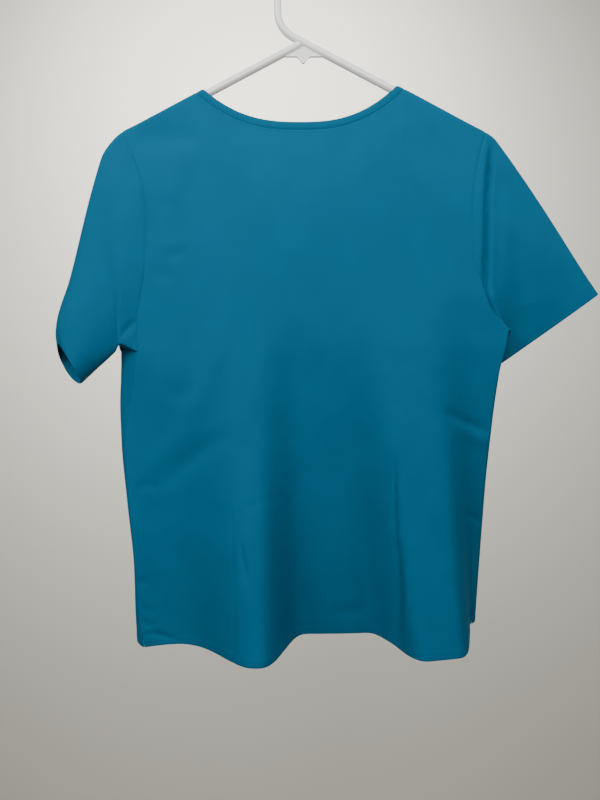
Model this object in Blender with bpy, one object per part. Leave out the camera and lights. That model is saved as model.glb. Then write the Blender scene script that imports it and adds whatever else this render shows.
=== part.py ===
"""Short-sleeved scrub top hanging from a tubular plastic hanger.

Sizes are in millimetres and turn into metres where the meshes are made.  -Y is the way the back of
the garment faces, +X is to the right as one looks at that back, and +Z is up.  The origin is the
inside top of the hanger's hook.
"""
import bpy
import numpy as np
from math import atan, cos, degrees, pi, radians, sin, sqrt

MM = 0.001

# ---------------------------------------------------------------- driving dimensions

CLOTH = 1.6                 # thickness of a panel's wall
BAND_CLOTH = 1.8            # the neckband is folded double
SEAM_GAP = 0.7              # between the middles of two pieces along a seam
UNDERARM_EASE = 0.35        # how much further a sleeve stands off where four seams meet
PIECE_GAP = 0.3             # between the hanger's pieces

TUBE_RADIUS = 4.4           # hanger tube
TUBE_SIDES = 12
HOOK_RADIUS = 30.0          # centre line of the hook's ring
HOOK_END_ANGLE = -10.0      # where the hook's free end stops, in degrees round the ring
HOOK_SWEEP_RADIUS = 34.0    # bend from the stem into the right arm
JOIN_X = -1.0               # where the hook's piece ends and the right arm's begins
SHOULDER_SLOPE = 0.53       # fall for each millimetre out, of the arms and of the shoulder seams
TIP_X = 211.0               # shoulder tip of the garment
TIP_Z = -193.0
HANGER_HALF_WIDTH = 209.5
BEND_RADIUS = 14.0          # centre line of the hanger's end bends
ARM_START = 9.0             # left arm, from the apex along its own line
ARM_TAIL = 6.0              # straight length of each arm's piece past its bend
PLATE_THICKNESS = 3.0
PLATE_HEIGHT = 11.6         # from the underside of the apex down to the plate's straight edge
PLATE_TAB_DROP = 7.6
PLATE_TAB_HALF_WIDTH = 9.5
RING_STEPS, SWEEP_STEPS, BEND_STEPS, TAB_STEPS = 18, 6, 9, 14

CLOTH_ROLL = TUBE_RADIUS + 0.9 + CLOTH / 2      # radius at which the cloth rolls over the arms

NECK_CENTRE_X = -4.0
NECK_SEAM_HALF = 122.0      # neck seam, half of its width at the shoulder line
NECK_EDGE_HALF = 113.5      # inner edge of the neckband
BACK_NECK = {"seam_z": -192.3, "edge_z": -183.0, "power": 2.6}
FRONT_NECK = {"seam_z": -315.0, "edge_z": -300.0, "power": 1.15}

HEM_Z = -772.0
VENT_LEVEL = 0.09           # top of the side vents, as a share of the side seam
VENT_OPEN = {"left": 4.0, "right": 0.8}

SHOULDER_COLUMNS = 5
NECK_HALF = (0.0, 0.16, 0.32, 0.48, 0.64, 0.79, 0.90, 0.968, 0.990, 1.0)
NECK_SHARES = tuple(-share for share in NECK_HALF[:0:-1]) + NECK_HALF
COLUMNS = 2 * SHOULDER_COLUMNS + len(NECK_SHARES) - 1
BAND_CROWN = 0.5            # how far the neckband bows out between its edges

SECTION_POINTS = 400        # along a section, before it is cut into even columns
TURN_POINTS = 40
SHARP_ANGLE = 50.0          # degrees between faces, past which an edge shows as a corner


def table(columns, *rows):
    """Columns of numbers by name, one row for each station."""
    values = np.array(rows, dtype=float)
    return {name: values[:, k] for k, name in enumerate(columns.split())}


# Rounded free end of the hook: distance past the ring and radius, both in tube radii.
HOOK_DOME = table("past radius",
                  (0.30, 0.80),
                  (0.75, 0.45))

# Side seams, level 0 at the hem to level 1 at the underarm.
SIDE_SEAMS = {
    "left": table("level x y z",
                  (0.00, -176.0, -44.0, -775.0),
                  (0.09, -180.5, -41.0, -744.0),
                  (0.25, -185.0, -38.0, -692.0),
                  (0.47, -194.0, -30.0, -621.0),
                  (0.67, -201.0, -24.0, -556.0),
                  (0.85, -193.5, -22.0, -499.0),
                  (1.00, -187.0, -22.0, -450.0)),
    "right": table("level x y z",
                   (0.00, 201.5, 18.0, HEM_Z),
                   (0.25, 205.5, 8.0, -685.0),
                   (0.47, 208.5, -3.0, -608.0),
                   (0.67, 214.5, -10.0, -539.0),
                   (0.85, 223.0, -13.0, -476.0),
                   (0.94, 231.0, -13.0, -446.0),
                   (1.00, 236.0, -12.0, -424.0)),
}

# Armhole edges, level 1 at the underarm to level 2 at the shoulder tip.
ARMHOLES = {
    "back left": table("level x y z",
                       (1.00, -187.0, -22.0, -450.0),
                       (1.12, -188.5, -20.0, -420.0),
                       (1.38, -180.5, -18.0, -352.0),
                       (1.54, -180.0, -15.0, -311.0),
                       (1.72, -185.0, -12.0, -264.0),
                       (1.87, -197.0, -8.0, -226.0),
                       (2.00, -TIP_X, -CLOTH_ROLL, TIP_Z)),
    "back right": table("level x y z",
                        (1.00, 236.0, -12.0, -424.0),
                        (1.12, 217.0, -14.0, -404.0),
                        (1.24, 206.0, -15.0, -379.0),
                        (1.40, 195.0, -15.0, -341.0),
                        (1.56, 193.5, -14.0, -303.0),
                        (1.72, 195.5, -12.0, -264.0),
                        (1.87, 202.0, -8.0, -227.0),
                        (2.00, TIP_X, -CLOTH_ROLL, TIP_Z)),
    "front left": table("level x y z",
                        (1.00, -187.0, -22.0, -450.0),
                        (1.06, -203.0, -9.0, -447.0),
                        (1.13, -211.5, 4.0, -439.0),
                        (1.22, -210.0, 9.0, -420.0),
                        (1.36, -201.0, 11.0, -386.0),
                        (1.60, -188.0, 11.0, -322.0),
                        (1.87, -198.0, 8.0, -228.0),
                        (2.00, -TIP_X, CLOTH_ROLL, TIP_Z)),
    "front right": table("level x y z",
                         (1.00, 236.0, -12.0, -424.0),
                         (1.06, 233.0, -2.5, -422.5),
                         (1.13, 227.0, 7.0, -411.0),
                         (1.25, 214.0, 10.0, -386.0),
                         (1.45, 201.0, 11.0, -333.0),
                         (1.72, 198.0, 10.0, -266.0),
                         (1.87, 203.0, 8.0, -228.0),
                         (2.00, TIP_X, CLOTH_ROLL, TIP_Z)),
}

# Depth of each panel's middle, and where the front panel reaches out past the side seams.
BODY = table("level back_mid front_mid out_left out_left_y out_right out_right_y",
             (0.00, -10.0, 5.0, -187.0, -15.0, 204.5, 28.0),
             (0.25, -12.0, 6.0, -188.0, -12.0, 208.5, 21.0),
             (0.47, -14.0, 8.0, -197.5, -8.0, 211.0, 14.0),
             (0.67, -17.0, 9.0, -207.0, -3.0, 216.5, 8.0),
             (0.85, -20.0, 10.0, -213.5, 2.0, 219.5, 0.0),
             (1.00, -22.0, 10.0, -213.5, 4.0, 222.0, -3.0),
             (1.06, -22.0, 10.0, -213.5, 4.0, 222.0, 3.0),
             (1.70, -15.0, 9.0, -213.5, 4.0, 222.0, 3.0),
             (2.00, -CLOTH_ROLL, CLOTH_ROLL, -213.5, 4.0, 222.0, 3.0))
FRONT_TURN = 25.0           # width over which the front panel turns in from its outermost line
TURN_TOP_LEVEL = 1.13       # above it the front panel starts at its armhole edge
BOW_POWER = 2.0             # a panel bows evenly from edge to edge
TURN_BOW_POWER = 12.0       # just above the turn it bows only near its edges
TURN_BOW_FADE = 0.5         # levels over which that dies away

# Lengthwise folds.  Each stands out by `depth` at the hem and dies away at `top_z`; it has a
# crest of half-width `crest` and flanks `left` and `right` wide, steeper where `power` is low.
FOLDS = {
    "back": table("hem_x top_x crest left left_power right right_power depth top_z",
                  (-44.0, -68.0, 5.0, 118.0, 3.3, 37.0, 2.0, 85.0, -325.0),
                  (144.5, 112.0, 21.5, 46.0, 2.0, 38.5, 2.0, 86.0, -325.0)),
    "front": table("hem_x top_x crest left left_power right right_power depth top_z",
                   (-105.0, -95.0, 15.0, 55.0, 2.0, 70.0, 2.0, 48.0, -400.0),
                   (130.0, 120.0, 15.0, 55.0, 2.0, 60.0, 2.0, 42.0, -400.0)),
}
FOLD_GROWTH = 1.7           # how slowly a fold starts below its top
FOLD_TOP_SPREAD = 1.5       # how much wider the flanks are at a fold's top
FOLD_FADE = {"back": 12.0, "front": 30.0}       # width at a panel's side edges with no fold

# Sleeves: the top fold and the under fold from the armhole (share 0) to the cuff (share 1), and
# how far the near and the far layer stand off the flat between the two folds.
SLEEVES = {
    "left": {
        "near_lean": (-0.38, 1.0, 0.0),
        "far_lean": (-0.50, 1.0, -0.09),
        "round": 0.7,
        "top": table("share x y z",
                     (0.00, -TIP_X, 0.0, TIP_Z),
                     (0.05, -219.0, 0.0, -200.0),
                     (0.14, -233.5, 0.0, -219.5),
                     (0.20, -238.5, 0.0, -234.0),
                     (0.70, -272.5, 0.0, -365.0),
                     (0.94, -288.0, 0.0, -425.0),
                     (1.00, -286.0, 0.0, -439.0)),
        "under": table("share x y z",
                       (0.00, -187.0, -22.0, -450.0),
                       (0.14, -205.0, -25.0, -438.5),
                       (0.35, -216.5, -14.0, -450.0),
                       (1.00, -257.5, -4.0, -485.0)),
        "fullness": table("share near far",
                          (0.00, 0.0, 0.0),
                          (0.30, 10.0, 16.0),
                          (1.00, 32.0, 50.0)),
    },
    "right": {
        "near_lean": (0.1, 1.0, 0.0),
        "far_lean": (0.1, 1.0, 0.0),
        "round": 0.25,
        "top": table("share x y z",
                     (0.00, TIP_X, 0.0, TIP_Z),
                     (0.05, 221.0, 0.0, -200.0),
                     (0.10, 229.0, 0.0, -210.0),
                     (1.00, 343.5, 0.0, -382.0)),
        "under": table("share x y z",
                       (0.00, 236.0, -12.0, -424.0),
                       (0.08, 241.0, -8.0, -424.0),
                       (0.30, 242.0, 4.0, -437.0),
                       (1.00, 233.0, 22.0, -464.0)),
        "fullness": table("share near far",
                          (0.00, 0.0, 0.0),
                          (0.30, 7.0, 9.0),
                          (1.00, 8.0, 13.0)),
    },
}
SLEEVE_RINGS = (0.0, 0.07, 0.16, 0.28, 0.42, 0.57, 0.72, 0.87, 1.0)
ARMHOLE_FADE = 0.75         # share of the sleeve over which the armhole's curve dies away

BODY_LEVELS = (0.0, 0.045, 0.09, 0.17, 0.25, 0.33, 0.41, 0.50, 0.58, 0.67, 0.76, 0.85, 0.93)
ARM_LEVELS = (1.0, 1.06, 1.13, 1.22, 1.31, 1.40, 1.50, 1.60, 1.70, 1.80, 1.89, 1.972, 1.988,
              1.996, 2.0)

COLOURS = {                 # base colour, roughness
    "back": ((0.002, 0.165, 0.270), 0.82),
    "front": ((0.002, 0.155, 0.255), 0.82),
    "sleeve": ((0.002, 0.175, 0.285), 0.82),
    "band": ((0.002, 0.140, 0.235), 0.82),
    "hanger": ((0.86, 0.87, 0.87), 0.30),
}


# ---------------------------------------------------------------- curves and sections

def smooth(xs, ys, at):
    """Cubic through the stations that never overshoots them."""
    step = np.diff(xs)
    slope = np.diff(ys) / step
    tangent = np.zeros(len(xs))
    tangent[0], tangent[-1] = slope[0], slope[-1]
    for k in range(1, len(xs) - 1):
        if slope[k - 1] * slope[k] > 0.0:
            before, after = 2 * step[k] + step[k - 1], step[k] + 2 * step[k - 1]
            tangent[k] = (before + after) / (before / slope[k - 1] + after / slope[k])
    at = np.clip(at, xs[0], xs[-1])
    k = np.clip(np.searchsorted(xs, at, side="right") - 1, 0, len(step) - 1)
    t = (at - xs[k]) / step[k]
    return ((1 + 2 * t) * (1 - t) ** 2 * ys[k] + t * (1 - t) ** 2 * step[k] * tangent[k]
            + t * t * (3 - 2 * t) * ys[k + 1] + t * t * (t - 1) * step[k] * tangent[k + 1])


def read(stations, names, at):
    """Named columns of a table at one value of its first column."""
    first = next(iter(stations.values()))
    return np.array([float(smooth(first, stations[name], at)) for name in names.split()])


def shoulder_line(x):
    """Height of the shoulder seams, and of their line carried on over the neck."""
    return TIP_Z + (TIP_X - abs(x)) * SHOULDER_SLOPE


def roll(below):
    """How far out of the middle plane the cloth is, a drop `below` the shoulder line."""
    reach = CLOTH_ROLL / cos(atan(SHOULDER_SLOPE))
    inside = min(1.0, max(0.0, 1.0 - below / reach))
    return CLOTH_ROLL * sqrt(1.0 - inside * inside)


def flank(distance, width, power):
    """Falls from 1 to 0 over a width, with no corner at either end."""
    t = np.clip(distance / width, 0.0, 1.0)
    return (1.0 - t) ** power * (1.0 + power * t)


def fold_depth(panel, x, left, right):
    """How far the lengthwise folds stand out at x, on a section from one edge point to the other."""
    z = left[2] + (right[2] - left[2]) * (x - left[0]) / (right[0] - left[0])
    fade = (np.minimum(x - left[0], right[0] - x) / FOLD_FADE[panel]).clip(0.0, 1.0)
    total = np.zeros_like(x)
    folds = FOLDS[panel]
    for k in range(len(folds["hem_x"])):
        fold = {name: column[k] for name, column in folds.items()}
        down = ((fold["top_z"] - z) / (fold["top_z"] - HEM_Z)).clip(0.0, 1.0)
        centre = fold["top_x"] + (fold["hem_x"] - fold["top_x"]) * down
        spread = FOLD_TOP_SPREAD + (1.0 - FOLD_TOP_SPREAD) * down
        left_side = flank(centre - fold["crest"] - x, fold["left"] * spread, fold["left_power"])
        right_side = flank(x - centre - fold["crest"], fold["right"] * spread, fold["right_power"])
        total += fold["depth"] * down ** FOLD_GROWTH * np.minimum(left_side, right_side)
    return total * fade


def edge_point(panel, side, level):
    """Point of a panel's side edge: the side seam, then the armhole."""
    if level > 1.0:
        return read(ARMHOLES[f"{panel} {side}"], "x y z", level)
    point = read(SIDE_SEAMS[side], "x y z", level)
    opened = VENT_OPEN[side] / 2 * max(0.0, 1.0 - level / VENT_LEVEL)
    inward = 1.0 if side == "left" else -1.0
    point[0] += opened * (inward if panel == "back" else -inward)
    return point


def bowed(x, left, right, middle_y, power):
    """Depth of a panel that leaves both edges and bows to its middle."""
    t = 2.0 * (x - left[0]) / (right[0] - left[0]) - 1.0
    edge = np.where(t < 0.0, left[1], right[1])
    return middle_y + (edge - middle_y) * np.abs(t) ** power


def back_section(level):
    """The back panel's section at one level, as many x and y pairs."""
    left, right = edge_point("back", "left", level), edge_point("back", "right", level)
    x = np.linspace(left[0], right[0], SECTION_POINTS)
    y = bowed(x, left, right, read(BODY, "back_mid", level)[0], BOW_POWER)
    return x, y - fold_depth("back", x, left, right)


def turn(edge, out, inner):
    """Quadratic curve from an edge through an outermost point to an inner one."""
    t = np.linspace(0.0, 1.0, TURN_POINTS)[:, None]
    pull = 2.0 * out - (edge + inner) / 2.0
    return (1 - t) ** 2 * edge + 2 * t * (1 - t) * pull + t * t * inner


def front_section(level):
    """The front panel's section: round each side from the seam, then across behind the back."""
    left, right = edge_point("front", "left", level), edge_point("front", "right", level)
    middle, out_left, y_left, out_right, y_right = read(
        BODY, "front_mid out_left out_left_y out_right out_right_y", level)
    if level >= TURN_TOP_LEVEL:
        x = np.linspace(left[0], right[0], SECTION_POINTS)
        extra = (TURN_BOW_POWER - BOW_POWER) * flank(level - TURN_TOP_LEVEL, TURN_BOW_FADE, 2.0)
        y = bowed(x, left, right, middle, BOW_POWER + extra)
        return x, y + fold_depth("front", x, left, right)
    x = np.linspace(out_left + FRONT_TURN, out_right - FRONT_TURN, SECTION_POINTS)
    y = middle + fold_depth("front", x, left, right)
    start = turn(left[:2], np.array([out_left, y_left]), np.array([x[0], y[0]]))
    end = turn(right[:2], np.array([out_right, y_right]), np.array([x[-1], y[-1]]))
    path = np.vstack([start[:-1], np.column_stack([x, y]), end[::-1][1:]])
    return path[:, 0], path[:, 1]


def neck_curve(neck, which, share):
    """Neck seam or neckband edge at a share from -1, left shoulder, to 1, right shoulder."""
    half = NECK_SEAM_HALF if which == "seam" else NECK_EDGE_HALF
    corner = shoulder_line(NECK_CENTRE_X + (half if share > 0 else -half))
    middle = neck[f"{which}_z"]
    height = middle + (corner - middle) * abs(share) ** neck["power"]
    return NECK_CENTRE_X + half * share, height


def top_points(neck):
    """The panel's top edge: shoulder seam, neck seam, shoulder seam, as x and z pairs."""
    left_corner, right_corner = NECK_CENTRE_X - NECK_SEAM_HALF, NECK_CENTRE_X + NECK_SEAM_HALF
    left = [(x, shoulder_line(x)) for x in np.linspace(-TIP_X, left_corner, SHOULDER_COLUMNS + 1)]
    middle = [neck_curve(neck, "seam", share) for share in NECK_SHARES]
    right = [(x, shoulder_line(x)) for x in np.linspace(right_corner, TIP_X, SHOULDER_COLUMNS + 1)]
    return np.array(left[:-1] + middle + right[1:])


def panel_grid(panel, section, neck, outward):
    """Middle surface of a body panel, rows from the hem up and columns from left to right."""
    top = top_points(neck)
    top_share = (top[:, 0] + TIP_X) / (2 * TIP_X)
    even_share = np.linspace(0.0, 1.0, COLUMNS + 1)
    rows = []
    for level in BODY_LEVELS + ARM_LEVELS:
        near_top = 1.0 - flank(level - 1.0, 1.0, 2.0)
        share = even_share + (top_share - even_share) * near_top
        x, y = section(level)
        length = np.concatenate([[0.0], np.cumsum(np.hypot(np.diff(x), np.diff(y)))])
        at = share * length[-1]
        row_x, row_y = np.interp(at, length, x), np.interp(at, length, y)
        left_z = edge_point(panel, "left", level)[2]
        right_z = edge_point(panel, "right", level)[2]
        climb = max(0.0, level - 1.0) ** 1.5
        row_z = left_z + (right_z - left_z) * share + (top[:, 1] - TIP_Z) * climb
        for k in range(len(row_x)):
            over = CLOTH_ROLL - roll(shoulder_line(row_x[k]) - row_z[k])
            row_y[k] -= outward * over
        rows.append(np.column_stack([row_x, row_y, row_z]))
    return np.array(rows)


def band_grid(panel_top, neck, outward):
    """Middle surface of a neckband, from the neck seam to its free edge."""
    seam = panel_top[SHOULDER_COLUMNS:SHOULDER_COLUMNS + len(NECK_SHARES)]
    edge = []
    for share in NECK_SHARES:
        x, z = neck_curve(neck, "edge", share)
        edge.append((x, outward * roll(shoulder_line(x) - z), z))
    edge = np.array(edge)
    middle = (seam + edge) / 2
    middle[1:-1, 1] += outward * BAND_CROWN
    return np.array([seam, middle, edge])


def sleeve_grid(side, near_edge, far_edge):
    """Middle surface of a sleeve: rings from the armhole out to the cuff.

    A ring runs from the top fold down the near layer to the under fold and back up the far one.
    """
    cut = SLEEVES[side]
    near_lean, far_lean = np.array(cut["near_lean"]), np.array(cut["far_lean"])
    down = 2.0 - np.array(ARM_LEVELS[::-1])
    chord = (1 - cut["round"]) * down + cut["round"] * (1 - np.cos(pi * down)) / 2
    chord = chord[:, None]
    bow = 2 * np.sqrt(chord * (1 - chord))
    start = read(cut["top"], "x y z", 0.0)
    flat = start + (read(cut["under"], "x y z", 0.0) - start) * chord
    rings = []
    for share in SLEEVE_RINGS:
        top, under = read(cut["top"], "x y z", share), read(cut["under"], "x y z", share)
        near, far = read(cut["fullness"], "near far", share)
        fade = max(0.0, 1.0 - share / ARMHOLE_FADE) ** 2
        line = top + (under - top) * chord
        front_half = line - near_lean * near * bow + (near_edge - flat) * fade
        rear_half = line + far_lean * far * bow + (far_edge - flat) * fade
        rings.append(np.vstack([front_half, rear_half[::-1][1:-1]]))
    return np.array(rings)


# ---------------------------------------------------------------- solids

def quads(rows, columns, closed):
    """Corner numbers of a grid's faces."""
    faces = []
    for r in range(rows - 1):
        for c in range(columns if closed else columns - 1):
            n = (c + 1) % columns
            faces.append((r * columns + c, r * columns + n, (r + 1) * columns + n, (r + 1) * columns + c))
    return faces


def spot(point):
    """Name of a place, so that pieces sewn together find their shared points."""
    return tuple(int(round(value * 1000)) for value in point)


class Cloth:
    """All the sewn pieces, which share one smooth direction at every seam."""

    def __init__(self):
        self.pieces = {}

    def add(self, name, grid, closed, flip, seams, thickness, colour, ease=0.0):
        self.pieces[name] = dict(grid=grid, closed=closed, flip=flip, seams=seams,
                                 thickness=thickness, colour=colour, ease=ease)

    def directions(self):
        """Outward direction at each place, summed over every piece that meets there."""
        sums = {}
        for piece in self.pieces.values():
            grid = piece["grid"]
            points = grid.reshape(-1, 3)
            for face in quads(grid.shape[0], grid.shape[1], piece["closed"]):
                a, b, c, d = points[list(face)]
                normal = np.cross(c - a, d - b) * (-1.0 if piece["flip"] else 1.0)
                for corner in face:
                    key = spot(points[corner])
                    sums[key] = sums.get(key, np.zeros(3)) + normal
        return {key: value / np.linalg.norm(value) for key, value in sums.items()}

    def build(self):
        outward = self.directions()
        for name, piece in self.pieces.items():
            grid = piece["grid"]
            normals = np.array([outward[spot(p)] for p in grid.reshape(-1, 3)]).reshape(grid.shape)
            grid = draw_back(grid, piece["seams"], piece["ease"])
            half = piece["thickness"] / 2
            make_wall(name, grid + normals * half, grid - normals * half, piece)


def draw_back(grid, seams, ease):
    """Shorten a piece by half the seam gap, and its ease, along each of its sewn edges."""
    result = grid.copy()
    for seam in seams:
        edge, inner = {"start": (0, 1), "end": (-1, -2), "left": (0, 1), "right": (-1, -2)}[seam]
        if seam in ("start", "end"):
            along = grid[inner] - grid[edge]
            unit = along / np.linalg.norm(along, axis=1)[:, None]
            result[edge] += unit * (SEAM_GAP / 2 + ease)
        else:
            along = grid[:, inner] - grid[:, edge]
            result[:, edge] += along / np.linalg.norm(along, axis=1)[:, None] * SEAM_GAP / 2
    return result


def make_wall(name, outer, inner, piece):
    """One closed solid between an outer and an inner skin."""
    rows, columns = outer.shape[:2]
    closed = piece["closed"]
    count = rows * columns
    skin = quads(rows, columns, closed)
    if piece["flip"]:
        skin = [face[::-1] for face in skin]
    faces = skin + [tuple(count + v for v in face[::-1]) for face in skin]
    sides = [side for face in skin for side in zip(face, face[1:] + face[:1])]
    paired = set(sides)
    faces += [(b, a, count + a, count + b) for a, b in sides if (b, a) not in paired]
    vertices = np.vstack([outer.reshape(-1, 3), inner.reshape(-1, 3)])
    make_object(name, vertices, faces, piece["colour"])


def make_object(name, vertices, faces, colour):
    """Mesh object in metres, with its own material, shaded smooth between sharp edges."""
    mesh = bpy.data.meshes.new(name)
    mesh.from_pydata([tuple(float(v) * MM for v in p) for p in vertices], [], faces)
    mesh.validate()
    mesh.shade_smooth()
    mesh.set_sharp_from_angle(angle=radians(SHARP_ANGLE))
    base, roughness = COLOURS[colour]
    material = bpy.data.materials.new(f"{name}_{colour}")
    material.use_nodes = True
    shader = material.node_tree.nodes["Principled BSDF"]
    shader.inputs["Base Color"].default_value = (*base, 1.0)
    shader.inputs["Roughness"].default_value = roughness
    shader.inputs["Metallic"].default_value = 0.0
    mesh.materials.append(material)
    bpy.context.scene.collection.objects.link(bpy.data.objects.new(name, mesh))


def make_tube(name, path, radii):
    """Round tube in the XZ plane along a path, with flat ends."""
    path = np.array(path)
    ahead = np.gradient(path, axis=0)
    ahead /= np.linalg.norm(ahead, axis=1)[:, None]
    vertices = []
    for point, direction, radius in zip(path, ahead, radii):
        across = np.array([direction[2], 0.0, -direction[0]])
        for k in range(TUBE_SIDES):
            angle = 2 * pi * k / TUBE_SIDES
            vertices.append(point + radius * (cos(angle) * across + sin(angle) * np.array([0, 1, 0])))
    ring = range(TUBE_SIDES)
    faces = quads(len(path), TUBE_SIDES, True)
    faces.append(tuple(reversed(ring)))
    faces.append(tuple(v + TUBE_SIDES * (len(path) - 1) for v in ring))
    make_object(name, vertices, faces, "hanger")


def arc(centre, radius, start, end, steps):
    """Points round an arc in the XZ plane, angles in degrees from +X towards +Z."""
    angles = np.radians(np.linspace(start, end, steps + 1))
    return [(centre[0] + radius * cos(a), 0.0, centre[1] + radius * sin(a)) for a in angles]


# ---------------------------------------------------------------- the hanger

def arm_axis(x):
    """Height of the arms' centre line."""
    return shoulder_line(x) - CLOTH_ROLL / cos(atan(SHOULDER_SLOPE))


def make_hook():
    """Hook, stem and the sweep that runs on into the right arm."""
    tilt = atan(SHOULDER_SLOPE)
    ring_centre = (0.0, TUBE_RADIUS - HOOK_RADIUS)
    path = arc(ring_centre, HOOK_RADIUS, HOOK_END_ANGLE, 180.0, RING_STEPS)
    sweep_x = -HOOK_RADIUS + HOOK_SWEEP_RADIUS
    end_x = sweep_x - HOOK_SWEEP_RADIUS * sin(tilt)
    end_z = arm_axis(0.0) - SHOULDER_SLOPE * end_x
    sweep_z = end_z + HOOK_SWEEP_RADIUS * cos(tilt)
    path += arc((sweep_x, sweep_z), HOOK_SWEEP_RADIUS, 180.0, 270.0 - degrees(tilt), SWEEP_STEPS)
    path.append((JOIN_X, 0.0, arm_axis(0.0) - SHOULDER_SLOPE * JOIN_X))
    radii = [TUBE_RADIUS] * len(path)
    end = np.array(path[0])
    ahead = (end - np.array(path[1])) / np.linalg.norm(end - np.array(path[1]))
    for past, radius in zip(HOOK_DOME["past"], HOOK_DOME["radius"]):
        path.insert(0, tuple(end + ahead * TUBE_RADIUS * past))
        radii.insert(0, TUBE_RADIUS * radius)
    make_tube("hanger_hook", path, radii)


def make_arms_and_bar():
    """The two sloping arms with their end bends, and the straight bar between the bends."""
    tilt = atan(SHOULDER_SLOPE)
    bend_x = HANGER_HALF_WIDTH - TUBE_RADIUS - BEND_RADIUS
    tangent_x = bend_x + BEND_RADIUS * sin(tilt)
    bend_z = arm_axis(tangent_x) - BEND_RADIUS * cos(tilt)
    starts = {"left": ARM_START * cos(tilt), "right": JOIN_X + PIECE_GAP * cos(tilt)}
    for side, sign in (("left", -1.0), ("right", 1.0)):
        x = starts[side]
        path = [(x, 0.0, arm_axis(0.0) - SHOULDER_SLOPE * x)]
        path += arc((bend_x, bend_z), BEND_RADIUS, 90.0 - degrees(tilt), -90.0, BEND_STEPS)
        path.append((bend_x - ARM_TAIL, 0.0, bend_z - BEND_RADIUS))
        path = [(sign * p[0], p[1], p[2]) for p in path]
        if sign < 0:
            path = path[::-1]
        make_tube(f"hanger_arm_{side}", path, [TUBE_RADIUS] * len(path))
    bar_z = bend_z - BEND_RADIUS
    half = bend_x - ARM_TAIL - PIECE_GAP
    make_tube("hanger_bar", [(-half, 0.0, bar_z), (half, 0.0, bar_z)], [TUBE_RADIUS] * 2)


def make_plate():
    """Thin web that fills the corner under the apex, with a rounded tab in its middle."""
    tilt = atan(SHOULDER_SLOPE)
    top = arm_axis(0.0) - (TUBE_RADIUS + PIECE_GAP) / cos(tilt)
    edge = top - PLATE_HEIGHT
    reach = PLATE_HEIGHT / SHOULDER_SLOPE
    outline = [(0.0, top), (-reach, edge)]
    for x in np.linspace(-PLATE_TAB_HALF_WIDTH, PLATE_TAB_HALF_WIDTH, TAB_STEPS + 1):
        drop = PLATE_TAB_DROP * (1 + cos(pi * x / PLATE_TAB_HALF_WIDTH)) / 2
        outline.append((x, edge - drop))
    outline.append((reach, edge))
    half = PLATE_THICKNESS / 2
    vertices = [(x, -half, z) for x, z in outline] + [(x, half, z) for x, z in outline]
    count = len(outline)
    faces = [tuple(range(count)), tuple(range(2 * count - 1, count - 1, -1))]
    for k in range(count):
        n = (k + 1) % count
        faces.append((n, k, count + k, count + n))
    make_object("hanger_plate", vertices, faces, "hanger")


# ---------------------------------------------------------------- the garment

def make_garment():
    """Back, front, two sleeves and the two halves of the neckband."""
    back = panel_grid("back", back_section, BACK_NECK, -1.0)
    front = panel_grid("front", front_section, FRONT_NECK, 1.0)
    arm_rows = slice(len(BODY_LEVELS), len(BODY_LEVELS) + len(ARM_LEVELS))
    cloth = Cloth()
    cloth.add("back", back, False, False, ("left", "right", "end"), CLOTH, "back")
    cloth.add("front", front, False, True, ("left", "right", "end"), CLOTH, "front")
    for side, column in (("left", 0), ("right", -1)):
        near_edge, far_edge = back[arm_rows, column][::-1], front[arm_rows, column][::-1]
        grid = sleeve_grid(side, near_edge, far_edge)
        ease = np.zeros((grid.shape[1], 1))
        ease[len(ARM_LEVELS) - 1] = UNDERARM_EASE
        cloth.add(f"sleeve_{side}", grid, True, side == "left", ("start",), CLOTH, "sleeve", ease)
    cloth.add("neckband_back", band_grid(back[-1], BACK_NECK, -1.0), False, False,
              ("start", "left", "right"), BAND_CLOTH, "band")
    cloth.add("neckband_front", band_grid(front[-1], FRONT_NECK, 1.0), False, True,
              ("start", "left", "right"), BAND_CLOTH, "band")
    cloth.build()


for old in list(bpy.data.objects):
    bpy.data.objects.remove(old)

make_garment()
make_hook()
make_arms_and_bar()
make_plate()
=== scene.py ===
"""A short-sleeved scrub top that hangs from a white tubular hanger.

Sizes are in millimetres and turn into metres where a mesh is made.  -Y is the way the garment's back
faces, +X is to the right as one looks at that back, +Z is up, and the origin is the inside top of
the hanger's hook.
"""

from math import atan, cos, degrees, pi, radians, sin

import bpy
import numpy as np
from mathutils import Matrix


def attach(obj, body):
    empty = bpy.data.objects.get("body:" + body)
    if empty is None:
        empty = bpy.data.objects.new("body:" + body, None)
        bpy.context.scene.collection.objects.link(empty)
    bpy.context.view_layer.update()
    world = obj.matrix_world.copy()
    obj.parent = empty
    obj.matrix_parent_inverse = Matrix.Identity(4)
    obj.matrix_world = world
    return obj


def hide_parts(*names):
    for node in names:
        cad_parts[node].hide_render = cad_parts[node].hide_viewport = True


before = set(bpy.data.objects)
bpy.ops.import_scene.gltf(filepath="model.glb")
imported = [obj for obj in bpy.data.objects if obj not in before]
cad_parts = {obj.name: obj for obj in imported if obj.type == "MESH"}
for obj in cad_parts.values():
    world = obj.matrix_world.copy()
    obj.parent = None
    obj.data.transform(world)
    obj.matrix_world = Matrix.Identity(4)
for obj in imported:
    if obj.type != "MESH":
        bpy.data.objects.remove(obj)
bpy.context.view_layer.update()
bpy.ops.object.select_all(action="DESELECT")

MM = 0.001


# ================================================================ THE HANGER
# One moulded tube of white glossy plastic: the hook runs on into the right arm, the bar and the left
# arm, whose end is fused under the hook.

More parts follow.
